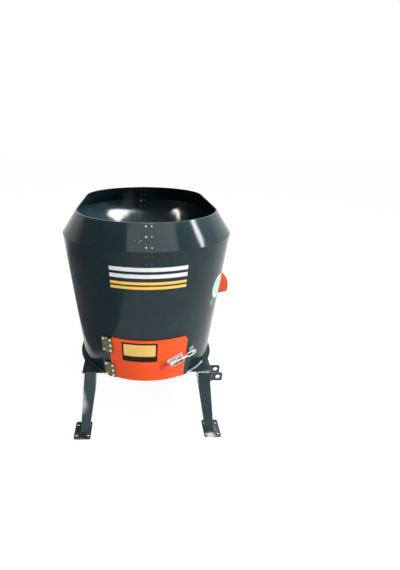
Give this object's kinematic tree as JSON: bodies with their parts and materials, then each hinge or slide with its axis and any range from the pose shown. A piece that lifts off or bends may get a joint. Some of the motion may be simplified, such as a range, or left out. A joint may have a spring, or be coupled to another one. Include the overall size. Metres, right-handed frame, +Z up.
{
  "type": "vertical feed mixer",
  "caption": "Tractor three-point mounted vertical feed mixer: oval flaring tub with inward collar, cone auger, orange discharge door, splayed legs with bolt-down feet",
  "frame": {"origin": "on the floor under the middle of the overall box", "axes": "+Z up, +X towards the tractor hitch, +Y along the tub from the discharge door to the long rear end"},
  "size_m": [1.038, 1.6306, 1.338],
  "materials": {
    "dark_paint": "glossy dark slate grey paint",
    "orange_paint": "glossy orange paint",
    "yellow_zinc": "yellow zinc plating",
    "bright_zinc": "bright plating",
    "red_grip": "red dipped grip",
    "blade_steel": "ground steel",
    "bare_steel": "machined steel",
    "cast_housing": "painted casting",
    "guard_plastic": "matt black plastic"
  },
  "bodies": {
    "frame": {"tub_shell": "dark_paint", "collar": "dark_paint", "front_strap": "dark_paint", "rear_strap": "dark_paint", "floor_plate": "dark_paint", "leg_front_left": "dark_paint", "foot_front_left": "dark_paint", "leg_rear_left": "dark_paint", "foot_rear_left": "dark_paint", "leg_front_right": "dark_paint", "foot_front_right": "dark_paint", "leg_rear_right": "dark_paint", "foot_rear_right": "dark_paint", "rail_front": "dark_paint", "rail_rear": "dark_paint", "hitch_plate": "dark_paint", "hitch_ear_1": "dark_paint", "hitch_ear_2": "dark_paint", "hitch_ear_3": "dark_paint", "hitch_ear_4": "dark_paint", "mast_plate": "dark_paint", "top_link_ear_front": "dark_paint", "top_link_ear_rear": "dark_paint", "gearbox": "cast_housing", "pto_guard": "guard_plastic", "hinge_upper_wall": "yellow_zinc", "hinge_lower_wall": "yellow_zinc", "latch_catch": "bright_zinc", "knife_bracket": "dark_paint"},
    "door": {"door_panel": "orange_paint", "hinge_upper_door": "yellow_zinc", "hinge_lower_door": "yellow_zinc", "latch_base": "bright_zinc", "latch_rod": "bright_zinc", "latch_handle": "red_grip"},
    "auger": {"auger_core": "dark_paint", "auger_flight": "dark_paint", "auger_knife_1": "blade_steel", "auger_knife_2": "blade_steel", "auger_knife_3": "blade_steel", "auger_knife_4": "blade_steel"},
    "pto_input": {"pto_shaft": "bare_steel"},
    "counter_knife_blade": {"counter_knife": "orange_paint"}
  },
  "joints": [
    {"name": "door_hinge", "type": "hinge", "parent": "frame", "child": "door", "pos_m": [-0.25099, -0.68713, 0.53624], "axis": [0.0536, 0.0871, -0.9948], "range_deg": [0, 110]},
    {"name": "auger_spin", "type": "hinge", "parent": "frame", "child": "auger", "pos_m": [-0.01897, -0.24, 0.396], "axis": [0, 0, 1], "continuous": true},
    {"name": "pto_spin", "type": "hinge", "parent": "frame", "child": "pto_input", "pos_m": [0.24103, -0.24, 0.23], "axis": [1, 0, 0], "continuous": true},
    {"name": "counter_knife_swing", "type": "hinge", "parent": "frame", "child": "counter_knife_blade", "pos_m": [0.45521, -0.33, 0.816], "axis": [0, -1, 0], "range_deg": [0, 70]}
  ],
  "couplings": [
    {"joint": "pto_spin", "follows": "auger_spin", "ratio": 12}
  ]
}
